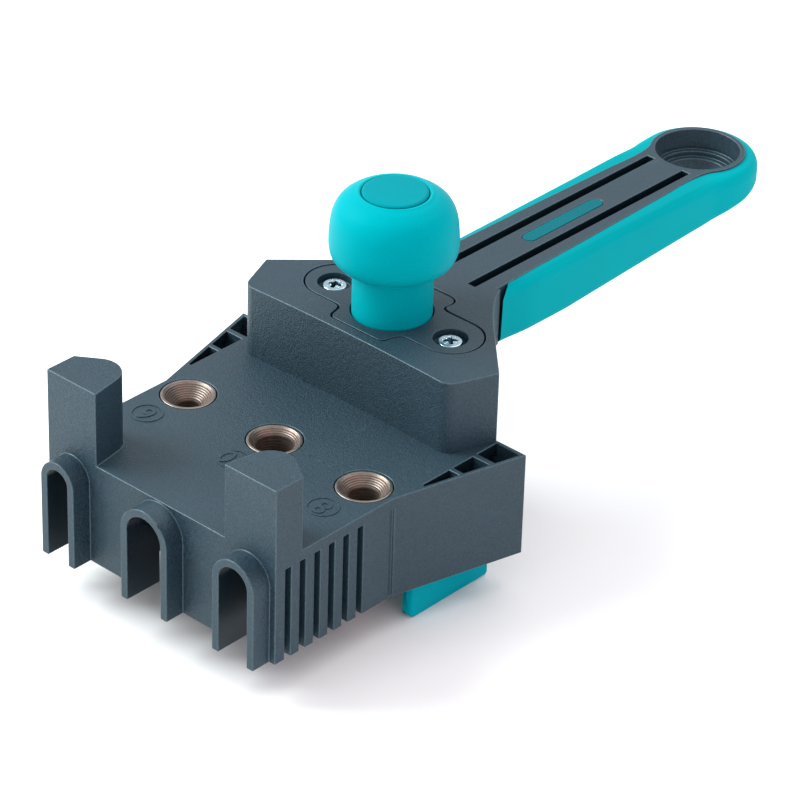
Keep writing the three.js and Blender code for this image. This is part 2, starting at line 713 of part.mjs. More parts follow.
add('guide_body', guideBody(), looks.body);
add('handle_body', handleBody(), looks.body);
add('handle_grip', handleGrip(), looks.grip);
add('handle_inlay', handleInlay(), looks.knob);
add('cover_plate', coverPlate(), looks.cover);
for (const bush of BUSHES) add(bush.name, drillBush(bush), looks.steel);
for (const [name, x] of [['cover_screw_left', -SCREW_X], ['cover_screw_right', SCREW_X]]) {
  add(name, crossScrew(x, KNOB_Y, COVER_TOP - 0.7, 12, COVER_SHANK, 3.3), looks.zinc);
}
SCREW_PLACES.forEach(([x, y], i) => {
  const headBottom = -PLATE - GAP - HEAD_DEPTH;
  add(`assembly_screw_${i + 1}`, screwFromBelow(x, y, headBottom, 13, SCREW_SHANK, 3.2), looks.zinc);
});

const leg = stopLeg();
add('stop_leg_right', leg, looks.knob);
add('stop_leg_left', mirrorX(leg), looks.knob);
add('stop_bridge', stopBridge(), looks.zinc);
for (const [name, side] of [['leg_screw_left', -1], ['leg_screw_right', 1]]) {
  const { x, y, shank } = LEG_SCREW;
  const headBottom = BRIDGE_TOP - BRIDGE_THICK - GAP - HEAD_DEPTH;
  add(name, screwFromBelow(side * x, y, headBottom, 7, shank, 2.6), looks.zinc);
}
add('return_spring', returnSpring(), looks.spring);

add('knob', knob(), looks.knob);
add('knob_disc', knobDisc(), looks.knob);
add('spindle', spindle(), looks.steel);
add('spindle_washer', spindleWasher(), looks.zinc);
add('spindle_nut', spindleNut(), looks.zinc);

// The lowest point, the leg tips, comes to Z = 0, and the middle of the length to Y = 0.
const front = BODY_FRONT - ARCH_PROUD;
const rear = RING_Y + GRIP_RING_RADIUS;
jig.position.set(0, -(front + rear) / 2, -LEG_BOTTOM);

export default jig;
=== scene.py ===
"""Looks of a handheld dowelling jig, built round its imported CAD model.

Everything is in metres in the row frame: +Z up, +Y towards the handle's ring, the leg tips at Z = 0.
"""
import json
import math

import bmesh
import bpy
from mathutils import Matrix, Vector

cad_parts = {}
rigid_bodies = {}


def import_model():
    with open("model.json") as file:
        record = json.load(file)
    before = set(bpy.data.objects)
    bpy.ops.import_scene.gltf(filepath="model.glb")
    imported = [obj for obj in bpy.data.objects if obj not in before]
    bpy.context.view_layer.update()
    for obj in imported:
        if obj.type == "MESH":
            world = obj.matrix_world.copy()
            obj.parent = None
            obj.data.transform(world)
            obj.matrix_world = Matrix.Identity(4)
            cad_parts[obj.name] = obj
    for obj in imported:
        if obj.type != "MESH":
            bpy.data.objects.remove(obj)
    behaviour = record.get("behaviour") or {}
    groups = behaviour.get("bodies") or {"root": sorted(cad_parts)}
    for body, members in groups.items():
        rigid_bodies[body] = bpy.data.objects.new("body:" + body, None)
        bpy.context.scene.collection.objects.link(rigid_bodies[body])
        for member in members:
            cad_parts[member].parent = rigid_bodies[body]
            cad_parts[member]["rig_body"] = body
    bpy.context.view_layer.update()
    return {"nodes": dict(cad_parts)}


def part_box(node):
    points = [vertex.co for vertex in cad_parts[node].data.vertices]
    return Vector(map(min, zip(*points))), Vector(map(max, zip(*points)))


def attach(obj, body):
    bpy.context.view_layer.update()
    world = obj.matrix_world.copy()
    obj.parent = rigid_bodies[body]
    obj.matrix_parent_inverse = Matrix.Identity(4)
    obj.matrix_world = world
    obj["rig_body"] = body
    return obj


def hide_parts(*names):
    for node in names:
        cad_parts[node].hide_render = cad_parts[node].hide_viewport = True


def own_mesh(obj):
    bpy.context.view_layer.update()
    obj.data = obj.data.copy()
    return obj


MM = 0.001
TAU = math.tau

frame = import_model()
nodes = frame["nodes"]

# The design datum of the CAD source: the middle bush's axis on the plate's top face.
plate_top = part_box("drill_bush_10")[1].z
bush_low, bush_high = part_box("drill_bush_10")
DATUM = Vector((0.0, (bush_low.y + bush_high.y) / 2, plate_top))


def at(x, y, z):
    """A point given in millimetres from the design datum."""
    return DATUM + Vector((x, y, z)) * MM


# ---------------------------------------------------------------- camera

CAMERA_AZIMUTH = 41.766  # degrees
CAMERA_ELEVATION = 31.564
CAMERA_ROLL = 1.765
CAMERA_DISTANCE = 1046.0  # millimetres from the datum, and to the side and up in the camera's own plane
CAMERA_SIDE = 32.77
CAMERA_UP = 10.27
CAMERA_LENS = 180.2


def make_camera():
    a, e, roll = (math.radians(v) for v in (CAMERA_AZIMUTH, CAMERA_ELEVATION, CAMERA_ROLL))
    back = Vector((math.sin(a) * math.cos(e), -math.cos(a) * math.cos(e), math.sin(e)))
    right = Vector((math.cos(a), math.sin(a), 0))
    up = back.cross(right)
    side = math.cos(roll) * right + math.sin(roll) * up
    top = -math.sin(roll) * right + math.cos(roll) * up
    place = DATUM + (back * CAMERA_DISTANCE + side * CAMERA_SIDE + top * CAMERA_UP) * MM
    data = bpy.data.cameras.new("camera")
    data.lens = CAMERA_LENS
    data.sensor_width = 36
    data.clip_start = 0.05
    data.clip_end = 20
    camera = bpy.data.objects.new("camera", data)
    camera.matrix_world = Matrix((
        (side.x, top.x, back.x, place.x),
        (side.y, top.y, back.y, place.y),
        (side.z, top.z, back.z, place.z),
        (0, 0, 0, 1)))
    bpy.context.scene.collection.objects.link(camera)
    bpy.context.scene.camera = camera


make_camera()


# ---------------------------------------------------------------- materials

class Look:
    """A material's node tree, with short calls for the nodes that are used here."""

    def __init__(self, name, color, roughness, metallic=0.0):
        self.material = bpy.data.materials.new(name)
        self.material.use_nodes = True
        self.material.diffuse_color = (*color, 1)
        self.tree = self.material.node_tree
        self.bsdf = self.tree.nodes["Principled BSDF"]
        self.bsdf.inputs["Base Color"].default_value = (*color, 1)
        self.bsdf.inputs["Roughness"].default_value = roughness
        self.bsdf.inputs["Metallic"].default_value = metallic
        self.place = self.add("ShaderNodeTexCoord").outputs["Object"]

    def add(self, kind, **settings):
        node = self.tree.nodes.new(kind)
        for key, value in settings.items():
            setattr(node, key, value)
        return node

    def link(self, source, target):
        self.tree.links.new(source, target)

    def stretched(self, x, y, z):
        """The object's coordinates, scaled on each axis."""
        node = self.add("ShaderNodeMapping")
        node.inputs["Scale"].default_value = (x, y, z)
        self.link(self.place, node.inputs["Vector"])
        return node.outputs["Vector"]

    def noise(self, scale, detail=2.0, roughness=0.5, vector=None):
        node = self.add("ShaderNodeTexNoise")
        node.inputs["Scale"].default_value = scale
        node.inputs["Detail"].default_value = detail
        node.inputs["Roughness"].default_value = roughness
        self.link(vector or self.place, node.inputs["Vector"])
        return node.outputs["Fac"]

    def remap(self, value, low, high, new_low=0.0, new_high=1.0):
        node = self.add("ShaderNodeMapRange")
        node.clamp = True
        for key, number in (("From Min", low), ("From Max", high), ("To Min", new_low), ("To Max", new_high)):
            node.inputs[key].default_value = number
        self.link(value, node.inputs["Value"])
        return node.outputs["Result"]

    def math(self, operation, a, b):
        node = self.add("ShaderNodeMath", operation=operation)
        for socket, value in zip(node.inputs, (a, b)):
            if isinstance(value, (int, float)):
                socket.default_value = value
            else:
                self.link(value, socket)
        return node.outputs["Value"]

    def mix(self, factor, a, b, blend="MIX"):
        node = self.add("ShaderNodeMix", data_type="RGBA", blend_type=blend)
        for socket, value in ((node.inputs["Factor"], factor), (node.inputs["A"], a), (node.inputs["B"], b)):
            if isinstance(value, (int, float)):
                socket.default_value = value
            elif isinstance(value, tuple):
                socket.default_value = (*value, 1)
            else:
                self.link(value, socket)
        return [s for s in node.outputs if s.name == "Result" and s.type == "RGBA"][0]

    def bump(self, height, distance, strength=1.0, normal=None):
        node = self.add("ShaderNodeBump")
        node.inputs["Distance"].default_value = distance
        node.inputs["Strength"].default_value = strength
        self.link(height, node.inputs["Height"])
        if normal is not None:
            self.link(normal, node.inputs["Normal"])
        return node.outputs["Normal"]

    def finish(self, color=None, roughness=None, normal=None):
        for key, value in (("Base Color", color), ("Roughness", roughness), ("Normal", normal)):
            if value is not None:
                self.link(value, self.bsdf.inputs[key])
        return self.material


def scaled(color, factor):
    return tuple(min(1.0, c * factor) for c in color)


def moulded_plastic(name, color, roughness, grain, scuffs, mottle,
                    specular=0.6, tint=(0.80, 0.97, 1.0), ior=1.5):
    """Injection-moulded plastic: cloudy shade, fine spark-eroded grain and a few rubbed streaks."""
    look = Look(name, color, roughness)
    look.bsdf.inputs["Specular IOR Level"].default_value = specular
    look.bsdf.inputs["Specular Tint"].default_value = (*tint, 1)
    look.bsdf.inputs["IOR"].default_value = ior
    cloud = look.noise(45, 3)
    fine = look.noise(2600, 2, 0.6)
    coarse = look.noise(900, 2)
    tone = look.mix(look.remap(cloud, 0.35, 0.65), scaled(color, 0.94), scaled(color, 1.06))
    tone = look.mix(look.remap(fine, 0.35, 0.65), tone, scaled(color, mottle))
    streak = look.noise(1.0, 4, 0.65, look.stretched(420, 60, 420))
    patch = look.noise(28, 2)
    rub = look.math("MULTIPLY", look.remap(streak, 0.60, 0.72), look.remap(patch, 0.50, 0.66))
    tone = look.mix(look.math("MULTIPLY", rub, scuffs), tone, scaled(color, 1.7))
    rough = look.math("ADD", look.remap(cloud, 0.3, 0.7, roughness - 0.04, roughness + 0.04),
                      look.math("MULTIPLY", rub, 0.12))
    normal = look.bump(fine, grain, 0.8)
    normal = look.bump(coarse, grain * 1.2, 0.5, normal)
    return look.finish(tone, rough, normal)


GRIP_PAINTED_SHADE_BAND = (0.0201, 0.0208)  # metres above the datum, where the painted shade on the grip's top band begins and is full


def soft_rubber(name, color, roughness):
    """Soft-touch overmould: a velvety matt skin with a very fine even grain, and painted shade on its top band.
    """
    look = Look(name, color, roughness)
    look.bsdf.inputs["Specular IOR Level"].default_value = 0.25
    look.bsdf.inputs["Specular Tint"].default_value = (0.0, 0.85, 1.0, 1)
    look.bsdf.inputs["IOR"].default_value = 1.2
    cloud = look.noise(30, 2)
    fine = look.noise(2200, 3, 0.6)
    tone = look.mix(look.remap(cloud, 0.35, 0.65), scaled(color, 0.96), scaled(color, 1.04))
    tone = look.mix(look.remap(fine, 0.3, 0.7, 0.0, 0.22), tone, scaled(color, 0.88))
    # Painted shade: the grip is darkened towards its up-facing top band, to hold back the light that falls on
    # it from above.
    height = look.add("ShaderNodeSeparateXYZ")
    look.link(look.place, height.inputs["Vector"])
    upper = look.remap(height.outputs["Z"], *GRIP_PAINTED_SHADE_BAND)
    tone = look.mix(upper, tone, scaled(color, 0.76))
    rough = look.remap(cloud, 0.3, 0.7, roughness - 0.05, roughness + 0.05)
    return look.finish(tone, rough, look.bump(fine, 0.000035, 0.7))


def turned_metal(name, color, tinted, roughness, groove, metallic=1.0):
    """Lathe-turned steel: fine rings round the piece's own axis and a cloudy heat tint."""
    look = Look(name, color, roughness, metallic)
    split = look.add("ShaderNodeSeparateXYZ")
    look.link(look.place, split.inputs["Vector"])
    radius = look.math("SQRT", look.math("ADD",
        look.math("MULTIPLY", split.outputs["X"], split.outputs["X"]),
        look.math("MULTIPLY", split.outputs["Y"], split.outputs["Y"])), 0)
    along = look.math("ADD", radius, split.outputs["Z"])
    join = look.add("ShaderNodeCombineXYZ")
    look.link(along, join.inputs["X"])
    rings = look.noise(2400, 3, 0.7, join.outputs["Vector"])
    blotch = look.noise(220, 4, 0.65)
    tone = look.mix(look.remap(blotch, 0.40, 0.62), color, tinted)
    tone = look.mix(look.remap(rings, 0.35, 0.65, 0.0, 0.5), tone, scaled(color, 0.55))
    rough = look.remap(rings, 0.3, 0.7, roughness - 0.08, roughness + 0.14)
    return look.finish(tone, rough, look.bump(rings, groove, 0.8))


def plated_metal(name, color, roughness):
    """Zinc-plated steel: a bright skin with a slightly uneven sheen."""
    look = Look(name, color, roughness, 1.0)
    cloud = look.noise(500, 4, 0.6)
    fine = look.noise(3500, 2)
    tone = look.mix(look.remap(cloud, 0.35, 0.65), scaled(color, 0.85), scaled(color, 1.08))
    rough = look.remap(cloud, 0.3, 0.7, roughness - 0.06, roughness + 0.1)
    return look.finish(tone, rough, look.bump(fine, 0.000012, 0.5))


SLATE = (0.017, 0.046, 0.070)
SLATE_COVER = (0.015, 0.040, 0.061)
SLATE_PAINTED_HIGHLIGHT = (0.048, 0.092, 0.122)
TEAL = (0.0, 0.35, 0.395)
TEAL_DARK = (0.0, 0.345, 0.41)
TEAL_GRIP = (0.0, 0.355, 0.39)
TEAL_INLAY = (0.006, 0.15, 0.18)
# Painted shade: a darker copy of the knob's teal for the up-facing disc, to hold back the light from above.
TEAL_DISC_PAINTED_SHADE = (0.0, 0.25, 0.29)
TEAL_TINT = (0.0, 0.9, 1.0)  # keeps the teal's highlights from greying
BUSH = (0.25, 0.205, 0.18)
BUSH_TINT = (0.20, 0.135, 0.105)  # where the heat treatment left its colour
ROD = (0.55, 0.56, 0.58)
ROD_TINT = (0.50, 0.50, 0.50)


def teal_plastic(name, color, roughness, grain, mottle, specular=0.4, ior=1.13):
    return moulded_plastic(name, color, roughness, grain, 0.0, mottle, specular, TEAL_TINT, ior)


looks = {
    "body_plastic": moulded_plastic("slate_plastic", SLATE, 0.50, 0.00024, 0.5, 0.4),
    "cover_plastic": moulded_plastic("slate_cover", SLATE_COVER, 0.5, 0.00012, 0.25, 0.5),
    "soft_grip": soft_rubber("teal_rubber", TEAL_GRIP, 0.62),
    "teal_plastic": teal_plastic("teal_plastic", TEAL, 0.42, 0.000006, 0.96),
    "stop_plastic": teal_plastic("teal_stop", TEAL_DARK, 0.45, 0.00002, 0.9),
    "inlay": teal_plastic("teal_inlay", TEAL_INLAY, 0.5, 0.00003, 0.7, 0.3, 1.2),
    "disc": teal_plastic("teal_disc_painted_shade", TEAL_DISC_PAINTED_SHADE, 0.42, 0.000006, 0.96),
    "bush_steel": turned_metal("bush_steel", BUSH, BUSH_TINT, 0.36, 0.00006, 0.75),
    # Painted highlight: the rounded edges of the slate mouldings and of the cover take a lighter, glossier
    # slate.
    "body_plastic_edge": moulded_plastic("slate_edge", SLATE_PAINTED_HIGHLIGHT, 0.36, 0.00005, 0.0, 0.4),
    "cover_plastic_edge": moulded_plastic(
        "slate_cover_edge", scaled(SLATE_COVER, 1.3), 0.4, 0.00003, 0.0, 0.9),
    # Painted shade: a much darker slate, also smoother, for the faces deep in the arches, the wings' cells and
    # the handle's slots.
    "body_plastic_core": moulded_plastic("slate_painted_shade", scaled(SLATE, 0.3), 0.3, 0.00002, 0.0, 0.8),
    "bush_steel_edge": plated_metal("bush_rim", (0.27, 0.245, 0.225), 0.34),
    "screw_zinc": plated_metal("zinc_plate", (0.50, 0.66, 0.74), 0.24),
    # Painted shade: a dark zinc for the deep faces of the screws' cross recess.
    "screw_zinc_core": plated_metal("zinc_recess_painted_shade", (0.05, 0.11, 0.15), 0.36),
    "bridge_steel": plated_metal("bridge_steel", (0.50, 0.53, 0.55), 0.34),
    "spring_steel": plated_metal("spring_steel", (0.42, 0.43, 0.45), 0.28),
    "rod_steel": turned_metal("rod_steel", ROD, ROD_TINT, 0.22, 0.00002),
}


# ---------------------------------------------------------------- mesh helpers

def show(name, mesh, body, slot, replaced=(), origin=None, weighted=True):
    """Puts a mesh in the scene as a piece that rides on a CAD body."""
    piece = bpy.data.objects.new(name, mesh)
    bpy.context.scene.collection.objects.link(piece)
    if origin is not None:
        piece.location = origin
    mesh.materials.append(looks[slot])
    # Extra materials: one for edges (a painted highlight on the slate pieces, the ground rim on the bushes) and
    # one that paints shade in hollows and recesses.
    for part in ("_edge", "_core"):
        if slot + part in looks:
            mesh.materials.append(looks[slot + part])
    for polygon in mesh.polygons:
        polygon.use_smooth = True
    if weighted:
        modifier = piece.modifiers.new("weighted", "WEIGHTED_NORMAL")
        modifier.weight = 80
        modifier.keep_sharp = True
    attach(piece, body)
    if replaced:
        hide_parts(*replaced)
    return piece


def finished(bm, name, sharp=None):
    """A mesh from a bmesh, its faces turned outwards."""
    bmesh.ops.recalc_face_normals(bm, faces=bm.faces)
    mesh = bpy.data.meshes.new(name)
    bm.to_mesh(mesh)
    bm.free()
    if sharp is not None:
        mesh.set_sharp_from_angle(angle=math.radians(sharp))
    return mesh


def rounded(points, radii, steps=4):
    """An open polyline with each inner corner replaced by an arc. radii holds one number for each point."""
    line = [Vector(points[0])]
    for i in range(1, len(points) - 1):
        before, corner, after = (Vector(points[k]) for k in (i - 1, i, i + 1))
        into, out = corner - before, after - corner
        turn = into.angle(out) if into.length * out.length > 0 else 0
        if radii[i] <= 0 or turn < 0.05:
            line.append(corner)
            continue
        cutback = min(radii[i] * math.tan(turn / 2), into.length * 0.48, out.length * 0.48)
        start, end = corner - into.normalized() * cutback, corner + out.normalized() * cutback
        for k in range(steps + 1):
            t = k / steps
            line.append((1 - t) ** 2 * start + 2 * t * (1 - t) * corner + t * t * end)
    line.append(Vector(points[-1]))
    return [(p.x, p.y) for p in line]


def turned(profile, sides=96):
    """Vertices and faces of (radius, z) points in mm turned about Z. Points at radius 0 close the shape."""
    vertices, rings = [], []
    for radius, z in profile:
        if radius < 1e-6:
            rings.append([len(vertices)])
            vertices.append((0, 0, z * MM))
            continue
        rings.append(list(range(len(vertices), len(vertices) + sides)))
        for k in range(sides):
            angle = TAU * k / sides
            vertices.append((radius * MM * math.cos(angle), radius * MM * math.sin(angle), z * MM))
    faces = []
    for low, high in zip(rings, rings[1:]):
        for k in range(sides):
            n = (k + 1) % sides
            if len(low) == 1 and len(high) == 1:
                break
            if len(low) == 1:
                faces.append((low[0], high[n], high[k]))
            elif len(high) == 1:
                faces.append((low[k], low[n], high[0]))
            else:
                faces.append((low[k], low[n], high[n], high[k]))
    return vertices, faces


def turned_mesh(name, profile, sides=96, closed=False):
    vertices, faces = turned(profile, sides)
    bm = bmesh.new()
    made = [bm.verts.new(v) for v in vertices]
    for face in faces:
        bm.faces.new([made[i] for i in face])
    if closed:
        bmesh.ops.remove_doubles(bm, verts=bm.verts, dist=1e-7)
    return finished(bm, name)


def cad_mesh(node, weld=0.00004):
    """A bmesh copy of a CAD node with its flat faces joined up."""
    bm = bmesh.new()
    bm.from_mesh(nodes[node].data)
    bmesh.ops.remove_doubles(bm, verts=bm.verts, dist=weld)
    bmesh.ops.dissolve_limit(
        bm, angle_limit=math.radians(0.5), verts=bm.verts, edges=bm.edges, delimit=set())
    return bm


def round_edges(bm, width, segments, sharp, keep, material):
    """Rounds the sharp edges of a bmesh that keep(edge) lets through. material is the new faces' index."""
    edges = [
        e for e in bm.edges
        if len(e.link_faces) == 2 and e.calc_face_angle(0) > math.radians(sharp) and (keep is None or keep(e))
    ]
    bmesh.ops.bevel(
        bm, geom=edges, offset=width * MM, offset_type="OFFSET", segments=segments, profile=0.5,
        affect="EDGES", clamp_overlap=False, loop_slide=True, material=material)


def from_cad(node, width, slot, segments=2, sharp=28, reshape=None, keep=None):
    """Replaces a CAD node by its copy with rounded edges. reshape(bm) can change the copy first."""
    bm = cad_mesh(node)
    if reshape is not None:
        reshape(bm)
    # Where the slot has an edge material the rounded edges take it; on the slate pieces that is a painted
    # highlight.
    round_edges(bm, width, segments, sharp, keep, 1 if slot + "_edge" in looks else -1)
    body = nodes[node]["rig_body"]
    return show(node + "_moulded", finished(bm, node, 60), body, slot, [node])


# ---------------------------------------------------------------- moulded pieces

SEAM = plate_top + 0.3 * MM  # underside of the upper moulding
SEAM_TOLERANCE = 0.05 * MM
SEAM_CLOSED = plate_top + 0.02 * MM
CORE_END = 173.1  # middle of the ring at the handle's end
HOLE_FOOT = 8.5  # radius of the lowest step of the ring's hole at the underside
BODY_HALF = 41.3  # half the width of the body in front of the wings
WING_START = 0.8  # Y where the wings leave the body's side
WING_SLOPE = 0.2594
BUSHES = {"6": (-32, 3, 3.8), "10": (0, 5, 6.1), "8": (32, 4, 5.0)}  # X, bore radius, half the arch's width
BODY_EDGE = 0.28  # rounding of the edges
METAL_EDGE = 0.12
PAINTED_SHADE_AREA_LIMIT = 60 * MM ** 2  # larger faces that look along Y belong to the grained outside and get no painted shade


def close_seam(bm):
    """Sets the block's foot down on the plate, as the two mouldings meet without a gap."""
    for vertex in bm.verts:
        if abs(vertex.co.z - SEAM) < SEAM_TOLERANCE:
            vertex.co.z = SEAM_CLOSED


def taper_hole(bm):
    """Gives the lowest step of the ring's hole its draft."""
    middle = at(0, CORE_END, 0)
    for vertex in bm.verts:
        radius = (vertex.co.xy - middle.xy).length
        if 9 * MM < radius < 9.4 * MM and vertex.co.z < at(0, 0, 11).z:
            vertex.co.xy = middle.xy + (vertex.co.xy - middle.xy) * (HOLE_FOOT * MM / radius)


def reshape_handle(bm):
    close_seam(bm)
    taper_hole(bm)


def above_seam(edge):
    return any(vertex.co.z > SEAM for vertex in edge.verts)


def below_rim(edge):
    """The outer edges of a stop leg that reach out of the body."""
    return (any(vertex.co.z < at(0, 0, -29).z for vertex in edge.verts)
            and all(abs(vertex.co.x) > BODY_HALF * MM for vertex in edge.verts))


def give_painted_shade(piece, inside):
    """Paints shade on the faces that inside() lets through, save the larger faces that look along Y: they take
    the darker, smoother painted-shade material. inside(x, y, z) takes design mm.
    """
    for polygon in piece.data.polygons:
        if abs(polygon.normal.y) < 0.5 or polygon.area < PAINTED_SHADE_AREA_LIMIT:
            if inside(*((polygon.center - DATUM) / MM)):
                polygon.material_index = 2


def in_arch_or_cell(x, y, z):
    """Inside a dowel arch at the front, or inside an open cell of a wing."""
    arch = y < -35.6 and any(abs(x - middle) < opening + 0.02 for middle, _, opening in BUSHES.values())
    wing = BODY_HALF + WING_SLOPE * (y - WING_START)
    cell = y > 11 and z > -5 and 42.1 < abs(x) < wing - 0.9
    return (arch and z < -2.6) or (cell and z < -0.3)


def in_slot(x, y, z):
    return 4.9 < abs(x) < 7.8 and 68 < y < 160.5 and z < 20.8


# Painted shade on the faces inside the dowel arches, the wings' open cells and the handle's slots.
give_painted_shade(from_cad("guide_body", BODY_EDGE, "body_plastic"), in_arch_or_cell)
give_painted_shade(from_cad("handle_body", BODY_EDGE, "body_plastic", reshape=reshape_handle, keep=above_seam), in_slot)
from_cad("cover_plate", 0.2, "cover_plastic")
from_cad("handle_inlay", 0.15, "teal_plastic").data.materials[0] = looks["inlay"]
for side in ("left", "right"):
    from_cad("stop_leg_" + side, 0.8, "stop_plastic", 4, 20, keep=below_rim)
    from_cad("leg_screw_" + side, METAL_EDGE, "screw_zinc")
from_cad("stop_bridge", 0.25, "bridge_steel")
for number in range(1, 5):
    from_cad(f"assembly_screw_{number}", METAL_EDGE, "screw_zinc")
for node in ("spindle", "spindle_washer", "spindle_nut"):
    from_cad(node, METAL_EDGE, "rod_steel" if node == "spindle" else "screw_zinc")

coil_mesh = nodes["return_spring"].data.copy()
coil_mesh.materials.clear()
coil = show("return_spring_coil", coil_mesh, "jig", "spring_steel", ["return_spring"], weighted=False)
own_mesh(coil)


# ---------------------------------------------------------------- soft grip

CORE_RADIUS = 13.7
GRIP_RADIUS = 17.4
GRIP_START = 72.9
GRIP_TOP = 20.95
GRIP_BOTTOM = 4.15
GRIP_CLIMB = 0.06  # rise of the underside for each mm beyond CLIMB_START
CLIMB_START = 99
GRIP_CORNER = 5.0  # radius of the upper corner next to the block
GRIP_BITE = 0.2  # how far the inner wall runs into the core, so that no gap shows
MEET = math.radians(34.2)  # where the waist runs into the ring
MEET_X, MEET_Y = CORE_RADIUS * math.cos(MEET), CORE_END - CORE_RADIUS * math.sin(MEET)


def bezier(a, b, c, steps=16):
    """A quadratic curve from a to c, drawn towards b."""
    a, b, c = Vector(a), Vector(b), Vector(c)
    shares = [k / steps for k in range(steps + 1)]
    return [(1 - t) ** 2 * a + 2 * t * (1 - t) * b + t * t * c for t in shares]


def across(line, y):
    """The X of a polyline at a given Y."""
    for low_point, high_point in zip(line, line[1:]):
        if y <= high_point.y:
            part = (y - low_point.y) / (high_point.y - low_point.y)
            return low_point.x + (high_point.x - low_point.x) * part
    return line[-1].x


def ease(value, low_end, high_end):
    t = min(1.0, max(0.0, (value - low_end) / (high_end - low_end)))
    return t * t * (3 - 2 * t)


CORE_LINE = (bezier((12.5, 70), (11.9, 112), (10.7, 148))
             + bezier((10.7, 148), (9.6, 161), (MEET_X, MEET_Y))[1:])
GRIP_LINE = (bezier((15, 73.2), (15.4, 130), (16.2, 162.1))
             + bezier((16.2, 162.1), (GRIP_RADIUS, 168.1), (GRIP_RADIUS, CORE_END))[1:])


def grip_section(outer, inner, share):
    """One closed section: a flat top band, a rounded shoulder, a straight side and a rounded foot.

    share is the section's place along the straight part, which starts in a rounded corner, or None at the ring.
    """
    outer, inner = Vector(outer), Vector(inner)
    out = (outer - inner).normalized()
    end = ease(inner.y, 150, 172)
    top = GRIP_TOP - 0.35 * end
    bottom = GRIP_BOTTOM + GRIP_CLIMB * (max(inner.y, CLIMB_START) - CLIMB_START)
    shoulder, foot = 2.3 + 0.7 * end, 2.0 + 1.6 * ease(inner.y, 164, 184)
    flare = 0.9 * ease(inner.y, 158, 170)  # the foot keeps straight where the side widens to the ring
    room = (outer - inner).length
    section = [(inner, top)]
    edge = max(room - shoulder, 0.3)
    section.append((inner + out * edge * 0.6, top - 0.06))
    steps = 9
    for k in range(steps + 1):
        t = k / steps * math.pi / 2
        section.append((inner + out * (edge + (room - edge) * math.sin(t)),
                        top - 0.15 - (shoulder + 0.6) * (1 - math.cos(t))))
    for k in range(steps + 1):
        t = k / steps * math.pi / 2
        reach = min(foot * (1 - math.cos(t)) + flare * math.sin(t), room - 0.3)
        section.append((outer - out * reach, bottom + foot * 1.25 * (1 - math.sin(t))))
    section.append((inner, bottom))
    points = []
    for place, z in section:
        y = place.y
        if share is not None:
            corner = min(GRIP_CORNER, max(0.0, z - (GRIP_TOP - GRIP_CORNER)))
            first = GRIP_START + GRIP_CORNER - math.sqrt(GRIP_CORNER ** 2 - corner ** 2)
            y = first + share * (MEET_Y - first)
        points.append((place.x, y, z))
    return points


def soft_grip_mesh():
    sides = []
    straight, bend = 48, 28
    inner_radius = CORE_RADIUS - GRIP_BITE
    for k in range(straight):
        share = k / straight
        y = GRIP_START + share * (MEET_Y - GRIP_START)
        start = 0.9 * (1 - ease(y, GRIP_START, GRIP_START + 12))
        outer = (across(GRIP_LINE, y) - start, y)
        inner = (across(CORE_LINE, y) - GRIP_BITE, y)
        sides.append(grip_section(outer, inner, share))
    for k in range(bend + 1):
        angle = -MEET + k / bend * (math.pi / 2 + MEET)
        inner = (inner_radius * math.cos(angle), CORE_END + inner_radius * math.sin(angle))
        if angle < 0:
            y = MEET_Y + (CORE_END - MEET_Y) * (1 + angle / MEET)
            outer = (across(GRIP_LINE, y), y)
        else:
            outer = (GRIP_RADIUS * math.cos(angle), CORE_END + GRIP_RADIUS * math.sin(angle))
        sides.append(grip_section(outer, inner, None))
    sections = sides + [[(-x, y, z) for x, y, z in points] for points in reversed(sides[:-1])]
    bm = bmesh.new()
    rings = [[bm.verts.new(Vector(point) * MM) for point in points] for points in sections]
    count = len(rings[0])
    for first, second in zip(rings, rings[1:]):
        for k in range(count):
            n = (k + 1) % count
            bm.faces.new((first[k], first[n], second[n], second[k]))
    bm.faces.new(rings[0])
    bm.faces.new(list(reversed(rings[-1])))
    return finished(bm, "handle_grip", 50)


grip_body = nodes["handle_grip"]["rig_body"]
show("soft_grip", soft_grip_mesh(), grip_body, "soft_grip", ["handle_grip"], at(0, 0, 0))


# ---------------------------------------------------------------- knob

KNOB_Y = 44.4
KNOB_TOP = 57.0
DISC_RADIUS = 8.9


def smooth_line(points, steps=6):
    """A Catmull-Rom curve through the points."""
    ends = [Vector(points[0]) * 2 - Vector(points[1])] + [Vector(p) for p in points]
    ends.append(Vector(points[-1]) * 2 - Vector(points[-2]))
    line = []
    for i in range(1, len(ends) - 2):
        a, b, c, d = ends[i - 1:i + 3]
        for k in range(steps):
            t = k / steps
            line.append(0.5 * (2 * b + (c - a) * t + (2 * a - 5 * b + 4 * c - d) * t * t
                               + (3 * b - a - 3 * c + d) * t ** 3))
    line.append(ends[-2])
    return [(p.x, p.y) for p in line]


def knob_profile():
    """Bore, long neck, a small lip, the cap's soft shoulder and a raised bead round the disc."""
    bore, neck, floor = 4.3, 10.85, KNOB_TOP - 2.2
    lower = rounded([(0, 26), (bore, 26), (bore, 0.6), (neck, 0.6), (neck, 34.5), (11.75, 34.05)],
                    [0, 0.2, 0.3, 0.5, 0.1, 0])
    crown = smooth_line([(11.75, 34.05), (12.1, 34.1), (12.32, 34.42), (12.3, 34.78), (12.75, 35.05),
                         (14.55, 36.05), (16.55, 38.2), (17.3, 41.4), (17.15, 46.2),
                         (16.5, 50.3), (14.9, 53.4), (12.4, 55.4), (10.35, 56.35)])
    bead = rounded([(10.35, 56.35), (9.9, 56.62), (9.3, 56.5), (9.12, 56.1), (9.12, floor), (0, floor)],
                   [0, 0.4, 0.3, 0.2, 0.1, 0])
    return lower + crown[1:] + bead[1:]


